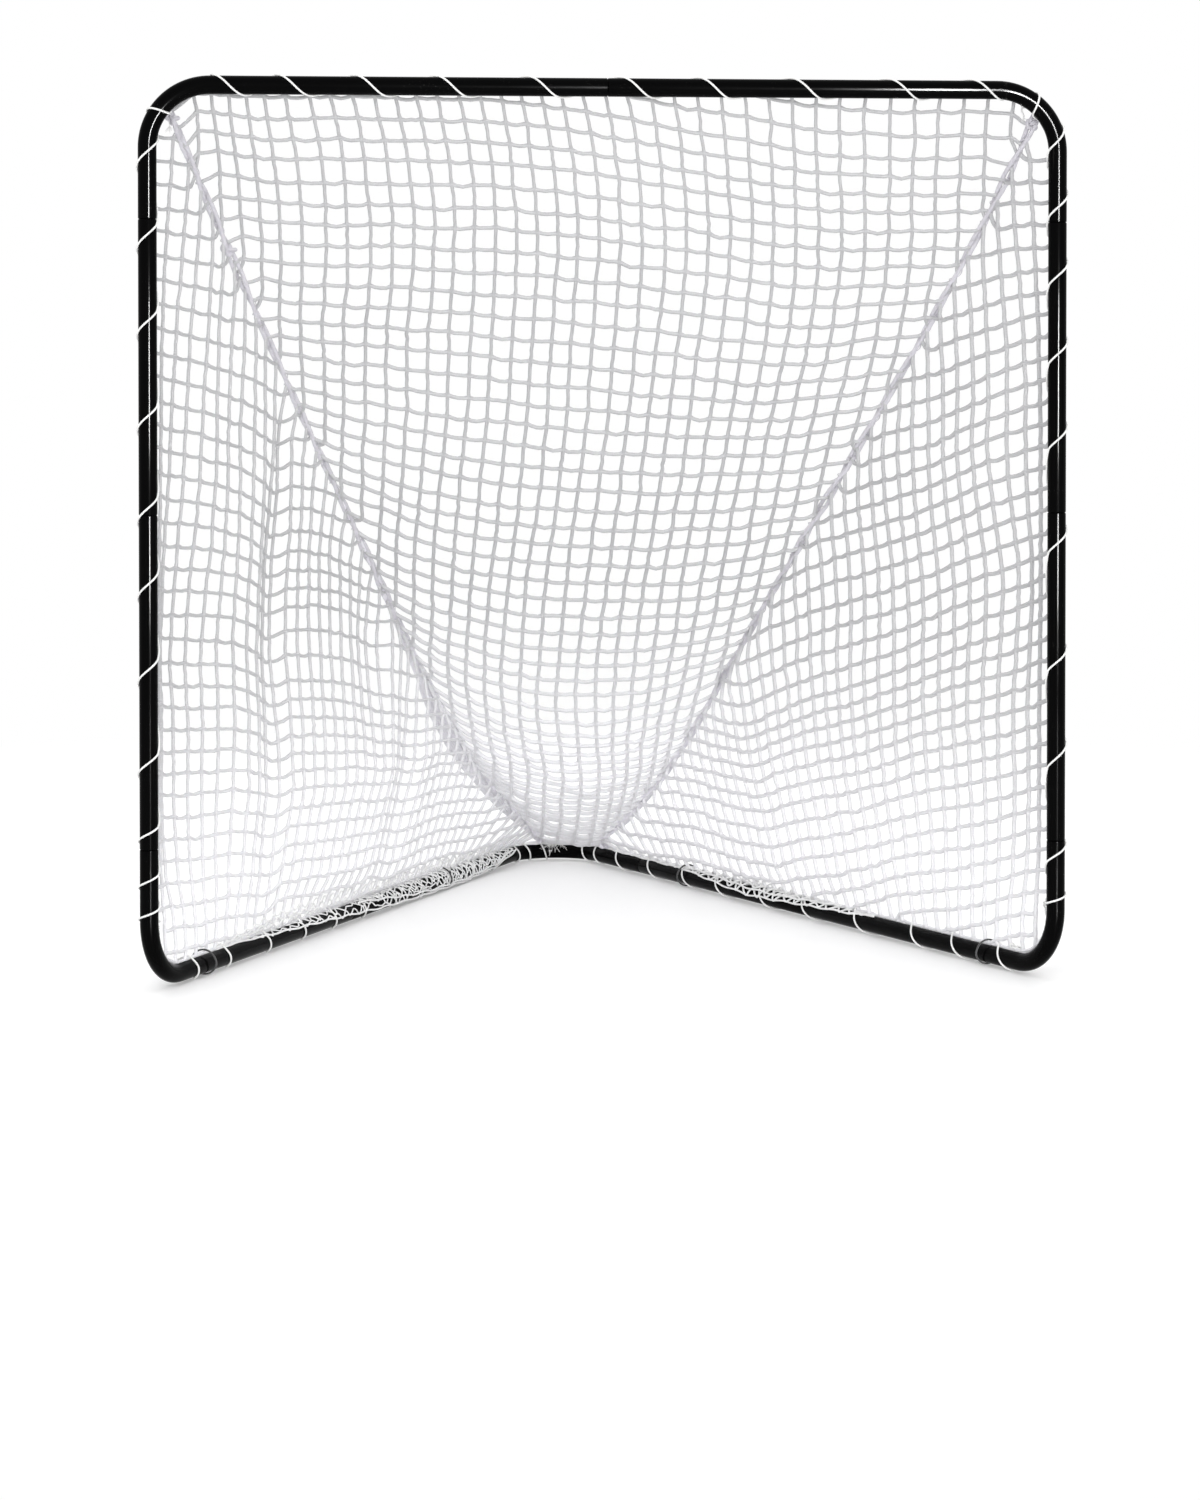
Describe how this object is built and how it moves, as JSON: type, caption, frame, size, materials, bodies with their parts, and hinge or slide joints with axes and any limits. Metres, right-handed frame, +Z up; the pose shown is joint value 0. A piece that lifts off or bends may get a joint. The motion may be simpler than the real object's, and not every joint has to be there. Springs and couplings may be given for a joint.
{
  "type": "lacrosse goal",
  "caption": "Free-standing lacrosse goal: square mouth of round steel tube over a V-shaped base, with a pyramid-shaped net held on by spiral cord lacing.",
  "frame": {"origin": "on the floor, in the middle of the footprint", "axes": "+Z up, +Y from the mouth back to the rear bend, +X to the right of someone looking into the mouth"},
  "size_m": [1.9138, 1.8952, 1.8726],
  "materials": {
    "tube_paint": "glossy black powder coat",
    "button_chrome": "polished",
    "spring_steel": "spring steel",
    "net_twine": "matte knotted polyester twine",
    "white_cord": "braided cord",
    "bungee_cord": "elastic cord",
    "bungee_ball": "moulded ball"
  },
  "bodies": {
    "frame": {"corner_top_left": "tube_paint", "post_upper_left": "tube_paint", "post_lower_left": "tube_paint", "corner_bottom_left": "tube_paint", "base_rear_left": "tube_paint", "corner_top_right": "tube_paint", "post_upper_right": "tube_paint", "post_lower_right": "tube_paint", "corner_bottom_right": "tube_paint", "base_rear_right": "tube_paint", "rear_v_tube": "tube_paint", "clip_spring_crossbar": "spring_steel", "clip_spring_post_top_left": "spring_steel", "clip_spring_post_middle_left": "spring_steel", "clip_spring_post_foot_left": "spring_steel", "clip_spring_base_front_left": "spring_steel", "clip_spring_base_rear_left": "spring_steel", "clip_spring_post_top_right": "spring_steel", "clip_spring_post_middle_right": "spring_steel", "clip_spring_post_foot_right": "spring_steel", "clip_spring_base_front_right": "spring_steel", "clip_spring_base_rear_right": "spring_steel", "net_back": "net_twine", "net_left": "net_twine", "net_right": "net_twine", "seam_rope_left": "white_cord", "seam_rope_right": "white_cord", "lacing_crossbar": "white_cord", "lacing_post_left": "white_cord", "lacing_post_right": "white_cord", "lacing_base_left": "white_cord", "lacing_base_right": "white_cord", "lacing_rear": "white_cord", "bungee_cord_front_left": "bungee_cord", "bungee_cord_front_right": "bungee_cord", "bungee_cord_rear_left": "bungee_cord", "bungee_cord_rear_right": "bungee_cord", "bungee_ball_front_left": "bungee_ball", "bungee_ball_front_right": "bungee_ball", "bungee_ball_rear_left": "bungee_ball", "bungee_ball_rear_right": "bungee_ball"},
    "button_crossbar": {"snap_button_crossbar": "button_chrome"},
    "button_post_top_left": {"snap_button_post_top_left": "button_chrome"},
    "button_post_middle_left": {"snap_button_post_middle_left": "button_chrome"},
    "button_post_foot_left": {"snap_button_post_foot_left": "button_chrome"},
    "button_base_front_left": {"snap_button_base_front_left": "button_chrome"},
    "button_base_rear_left": {"snap_button_base_rear_left": "button_chrome"},
    "button_post_top_right": {"snap_button_post_top_right": "button_chrome"},
    "button_post_middle_right": {"snap_button_post_middle_right": "button_chrome"},
    "button_post_foot_right": {"snap_button_post_foot_right": "button_chrome"},
    "button_base_front_right": {"snap_button_base_front_right": "button_chrome"},
    "button_base_rear_right": {"snap_button_base_rear_right": "button_chrome"}
  },
  "joints": [
    {"name": "press_crossbar", "type": "slide", "parent": "frame", "child": "button_crossbar", "axis": [0, -0.7071, -0.7071], "range_m": [0, 0.0068], "stiffness_N_per_m": 3000, "springref_m": -0.003, "deforming": ["clip_spring_crossbar"]},
    {"name": "press_post_top_left", "type": "slide", "parent": "frame", "child": "button_post_top_left", "axis": [0, -1, 0], "range_m": [0, 0.0068], "stiffness_N_per_m": 3000, "springref_m": -0.003, "deforming": ["clip_spring_post_top_left"]},
    {"name": "press_post_middle_left", "type": "slide", "parent": "frame", "child": "button_post_middle_left", "axis": [0, -1, 0], "range_m": [0, 0.0068], "stiffness_N_per_m": 3000, "springref_m": -0.003, "deforming": ["clip_spring_post_middle_left"]},
    {"name": "press_post_foot_left", "type": "slide", "parent": "frame", "child": "button_post_foot_left", "axis": [0, -1, 0], "range_m": [0, 0.0068], "stiffness_N_per_m": 3000, "springref_m": -0.003, "deforming": ["clip_spring_post_foot_left"]},
    {"name": "press_base_front_left", "type": "slide", "parent": "frame", "child": "button_base_front_left", "axis": [0.6417, -0.297, -0.7071], "range_m": [0, 0.0068], "stiffness_N_per_m": 3000, "springref_m": -0.003, "deforming": ["clip_spring_base_front_left"]},
    {"name": "press_base_rear_left", "type": "slide", "parent": "frame", "child": "button_base_rear_left", "axis": [0.6417, -0.297, -0.7071], "range_m": [0, 0.0068], "stiffness_N_per_m": 3000, "springref_m": -0.003, "deforming": ["clip_spring_base_rear_left"]},
    {"name": "press_post_top_right", "type": "slide", "parent": "frame", "child": "button_post_top_right", "axis": [0, -1, 0], "range_m": [0, 0.0068], "stiffness_N_per_m": 3000, "springref_m": -0.003, "deforming": ["clip_spring_post_top_right"]},
    {"name": "press_post_middle_right", "type": "slide", "parent": "frame", "child": "button_post_middle_right", "axis": [0, -1, 0], "range_m": [0, 0.0068], "stiffness_N_per_m": 3000, "springref_m": -0.003, "deforming": ["clip_spring_post_middle_right"]},
    {"name": "press_post_foot_right", "type": "slide", "parent": "frame", "child": "button_post_foot_right", "axis": [0, -1, 0], "range_m": [0, 0.0068], "stiffness_N_per_m": 3000, "springref_m": -0.003, "deforming": ["clip_spring_post_foot_right"]},
    {"name": "press_base_front_right", "type": "slide", "parent": "frame", "child": "button_base_front_right", "axis": [-0.6417, -0.297, -0.7071], "range_m": [0, 0.0068], "stiffness_N_per_m": 3000, "springref_m": -0.003, "deforming": ["clip_spring_base_front_right"]},
    {"name": "press_base_rear_right", "type": "slide", "parent": "frame", "child": "button_base_rear_right", "axis": [-0.6417, -0.297, -0.7071], "range_m": [0, 0.0068], "stiffness_N_per_m": 3000, "springref_m": -0.003, "deforming": ["clip_spring_base_rear_right"]}
  ]
}
